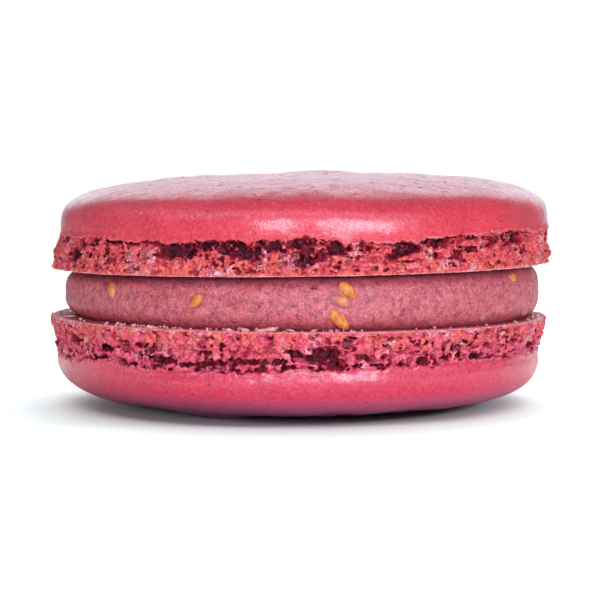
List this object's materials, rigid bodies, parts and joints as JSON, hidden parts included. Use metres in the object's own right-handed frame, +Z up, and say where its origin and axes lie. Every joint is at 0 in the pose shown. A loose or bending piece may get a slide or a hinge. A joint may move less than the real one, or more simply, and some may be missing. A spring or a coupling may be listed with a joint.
{
  "type": "raspberry macaron",
  "caption": "Round sandwich biscuit: smooth domed meringue shells with craggy feet round a thick disc of seeded berry ganache.",
  "frame": {"origin": "on the table, under the middle of the macaron", "axes": "+Z up through both shells; -Y is the front, where the cluster of three seeds shows; +X to the right seen from the front"},
  "size_m": [0.0462, 0.046, 0.0215],
  "materials": {
    "meringue_shell": "baked almond meringue, satin skin over an open crumb",
    "raspberry_ganache": "soft ganache, semi-matt, with yellow seeds"
  },
  "bodies": {
    "root": {"lower_shell": "meringue_shell", "upper_shell": "meringue_shell", "raspberry_filling": "raspberry_ganache"}
  },
  "joints": []
}
